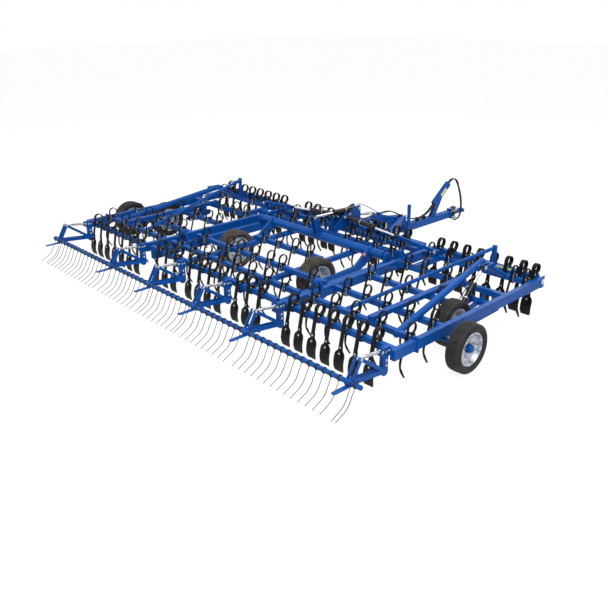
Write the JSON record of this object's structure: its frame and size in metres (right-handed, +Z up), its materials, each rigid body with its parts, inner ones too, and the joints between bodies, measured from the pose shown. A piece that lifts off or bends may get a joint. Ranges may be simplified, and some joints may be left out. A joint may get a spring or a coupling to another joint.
{
  "type": "field cultivator",
  "caption": "Wide towed field cultivator with two folding wings, rows of spring tines and paddles, a wire harrow behind, six wheels on lift arms and a drawbar with a parking stand.",
  "frame": {"origin": "on the ground under the middle of the bounding box, on the machine's centre plane", "axes": "+X to the right, +Y forward to the tractor, +Z up"},
  "size_m": [7.705, 7.2342, 0.905],
  "materials": {
    "blue_paint": "gloss",
    "tine_black": "satin",
    "wire_steel": "satin",
    "zinc": "satin",
    "chrome": "polished",
    "barrel_black": "satin",
    "rim_steel": "satin",
    "wing_tyre": "matte",
    "centre_tyre": "matte",
    "hose_rubber": "satin"
  },
  "bodies": {
    "centre_frame": {"centre_beams": "blue_paint", "centre_cross_tubes": "blue_paint", "centre_paddles": "tine_black", "centre_tines": "tine_black", "centre_tower": "blue_paint", "drawbar_frame": "blue_paint", "harrow_frame_centre": "blue_paint", "harrow_struts_centre": "zinc", "harrow_wires_centre": "wire_steel", "hitch_head": "blue_paint", "hose_1": "hose_rubber", "hose_2": "hose_rubber", "hose_3": "hose_rubber", "hose_feed": "hose_rubber", "hose_holder": "blue_paint", "turnbuckle": "zinc"},
    "wing_left": {"harrow_frame_left": "blue_paint", "harrow_struts_left": "zinc", "harrow_wires_left": "wire_steel", "wing_beams_left": "blue_paint", "wing_cross_tubes_left": "blue_paint", "wing_paddles_left": "tine_black", "wing_struts_left": "blue_paint", "wing_tines_left": "tine_black"},
    "fold_barrel_left": {"fold_barrel_left": "barrel_black"},
    "fold_rod_left": {"fold_rod_left": "chrome"},
    "wing_axle_left": {"wing_axle_left": "blue_paint"},
    "wing_lift_barrel_left": {"wing_lift_barrel_left": "barrel_black"},
    "wing_lift_rod_left": {"wing_lift_rod_left": "chrome"},
    "wing_outer_wheel_left": {"wing_outer_tyre_left": "wing_tyre", "wing_outer_rim_left": "rim_steel"},
    "wing_inner_wheel_left": {"wing_inner_tyre_left": "wing_tyre", "wing_inner_rim_left": "rim_steel"},
    "centre_wheel_left": {"centre_tyre_left": "centre_tyre", "centre_rim_left": "rim_steel"},
    "wing_right": {"harrow_frame_right": "blue_paint", "harrow_struts_right": "zinc", "harrow_wires_right": "wire_steel", "wing_beams_right": "blue_paint", "wing_cross_tubes_right": "blue_paint", "wing_paddles_right": "tine_black", "wing_struts_right": "blue_paint", "wing_tines_right": "tine_black"},
    "fold_barrel_right": {"fold_barrel_right": "barrel_black"},
    "fold_rod_right": {"fold_rod_right": "chrome"},
    "wing_axle_right": {"wing_axle_right": "blue_paint"},
    "wing_lift_barrel_right": {"wing_lift_barrel_right": "barrel_black"},
    "wing_lift_rod_right": {"wing_lift_rod_right": "chrome"},
    "wing_outer_wheel_right": {"wing_outer_tyre_right": "wing_tyre", "wing_outer_rim_right": "rim_steel"},
    "wing_inner_wheel_right": {"wing_inner_tyre_right": "wing_tyre", "wing_inner_rim_right": "rim_steel"},
    "centre_wheel_right": {"centre_tyre_right": "centre_tyre", "centre_rim_right": "rim_steel"},
    "rockshaft": {"rockshaft": "blue_paint", "rockshaft_levers": "blue_paint"},
    "centre_lift_barrel": {"centre_lift_barrel": "barrel_black"},
    "centre_lift_rod": {"centre_lift_rod": "chrome"},
    "stand_leg": {"stand_leg": "blue_paint"}
  },
  "joints": [
    {"name": "fold_left", "type": "hinge", "parent": "centre_frame", "child": "wing_left", "pos_m": [-1.545, -1.145, 0.6], "axis": [0, 1, 0], "range_deg": [0, 90]},
    {"name": "fold_barrel_swing_left", "type": "hinge", "parent": "centre_frame", "child": "fold_barrel_left", "pos_m": [-0.125, 0.085, 0.77], "axis": [0, 1, 0], "range_deg": [-1, 16]},
    {"name": "fold_rod_slide_left", "type": "slide", "parent": "fold_barrel_left", "child": "fold_rod_left", "axis": [-0.9966, 0, -0.0821], "range_m": [-0.4075, 0]},
    {"name": "wing_lift_left", "type": "hinge", "parent": "wing_left", "child": "wing_axle_left", "pos_m": [-3.19, -0.475, 0.345], "axis": [1, 0, 0], "range_deg": [0, 14]},
    {"name": "wing_lift_barrel_swing_left", "type": "hinge", "parent": "wing_axle_left", "child": "wing_lift_barrel_left", "pos_m": [-3.04, -0.885, 0.27], "axis": [1, 0, 0], "range_deg": [-9, 1]},
    {"name": "wing_lift_rod_slide_left", "type": "slide", "parent": "wing_lift_barrel_left", "child": "wing_lift_rod_left", "axis": [0, 0.7139, 0.7002], "range_m": [0, 0.055]},
    {"name": "wing_outer_spin_left", "type": "hinge", "parent": "wing_axle_left", "child": "wing_outer_wheel_left", "pos_m": [-3.745, -1.695, 0.312], "axis": [1, 0, 0], "continuous": true},
    {"name": "wing_inner_spin_left", "type": "hinge", "parent": "wing_axle_left", "child": "wing_inner_wheel_left", "pos_m": [-3.22, -1.255, 0.312], "axis": [1, 0, 0], "continuous": true},
    {"name": "centre_spin_left", "type": "hinge", "parent": "rockshaft", "child": "centre_wheel_left", "pos_m": [-0.945, -1.425, 0.32], "axis": [1, 0, 0], "continuous": true},
    {"name": "fold_right", "type": "hinge", "parent": "centre_frame", "child": "wing_right", "pos_m": [1.545, -1.145, 0.6], "axis": [0, -1, 0], "range_deg": [0, 90]},
    {"name": "fold_barrel_swing_right", "type": "hinge", "parent": "centre_frame", "child": "fold_barrel_right", "pos_m": [0.125, 0.085, 0.77], "axis": [0, -1, 0], "range_deg": [-1, 16]},
    {"name": "fold_rod_slide_right", "type": "slide", "parent": "fold_barrel_right", "child": "fold_rod_right", "axis": [0.9966, 0, -0.0821], "range_m": [-0.4075, 0]},
    {"name": "wing_lift_right", "type": "hinge", "parent": "wing_right", "child": "wing_axle_right", "pos_m": [3.19, -0.475, 0.345], "axis": [1, 0, 0], "range_deg": [0, 14]},
    {"name": "wing_lift_barrel_swing_right", "type": "hinge", "parent": "wing_axle_right", "child": "wing_lift_barrel_right", "pos_m": [3.04, -0.885, 0.27], "axis": [1, 0, 0], "range_deg": [-9, 1]},
    {"name": "wing_lift_rod_slide_right", "type": "slide", "parent": "wing_lift_barrel_right", "child": "wing_lift_rod_right", "axis": [0, 0.7139, 0.7002], "range_m": [0, 0.055]},
    {"name": "wing_outer_spin_right", "type": "hinge", "parent": "wing_axle_right", "child": "wing_outer_wheel_right", "pos_m": [3.745, -1.695, 0.312], "axis": [1, 0, 0], "continuous": true},
    {"name": "wing_inner_spin_right", "type": "hinge", "parent": "wing_axle_right", "child": "wing_inner_wheel_right", "pos_m": [3.22, -1.255, 0.312], "axis": [1, 0, 0], "continuous": true},
    {"name": "centre_spin_right", "type": "hinge", "parent": "rockshaft", "child": "centre_wheel_right", "pos_m": [0.945, -1.425, 0.32], "axis": [1, 0, 0], "continuous": true},
    {"name": "centre_lift", "type": "hinge", "parent": "centre_frame", "child": "rockshaft", "pos_m": [0, -0.433, 0.54], "axis": [1, 0, 0], "range_deg": [0, 20]},
    {"name": "centre_lift_barrel_swing", "type": "hinge", "parent": "centre_frame", "child": "centre_lift_barrel", "pos_m": [0, 0.435, 0.84], "axis": [1, 0, 0], "range_deg": [-1, 4]},
    {"name": "centre_lift_rod_slide", "type": "slide", "parent": "centre_lift_barrel", "child": "centre_lift_rod", "axis": [0, -0.9996, 0.03], "range_m": [0, 0.11]},
    {"name": "stand_slide", "type": "slide", "parent": "centre_frame", "child": "stand_leg", "axis": [0, 0, 1], "range_m": [0, 0.17]}
  ],
  "couplings": [
    {"joint": "fold_barrel_swing_left", "follows": "fold_left", "ratio": 0.156},
    {"joint": "fold_rod_slide_left", "follows": "fold_left", "m_per_rad": -0.25936},
    {"joint": "wing_lift_barrel_swing_left", "follows": "wing_lift_left", "ratio": -0.52423},
    {"joint": "wing_lift_rod_slide_left", "follows": "wing_lift_left", "m_per_rad": 0.2108},
    {"joint": "fold_barrel_swing_right", "follows": "fold_right", "ratio": 0.156},
    {"joint": "fold_rod_slide_right", "follows": "fold_right", "m_per_rad": -0.25936},
    {"joint": "wing_lift_barrel_swing_right", "follows": "wing_lift_right", "ratio": -0.52423},
    {"joint": "wing_lift_rod_slide_right", "follows": "wing_lift_right", "m_per_rad": 0.2108},
    {"joint": "centre_lift_barrel_swing", "follows": "centre_lift", "ratio": 0.17675},
    {"joint": "centre_lift_rod_slide", "follows": "centre_lift", "m_per_rad": 0.30109}
  ]
}
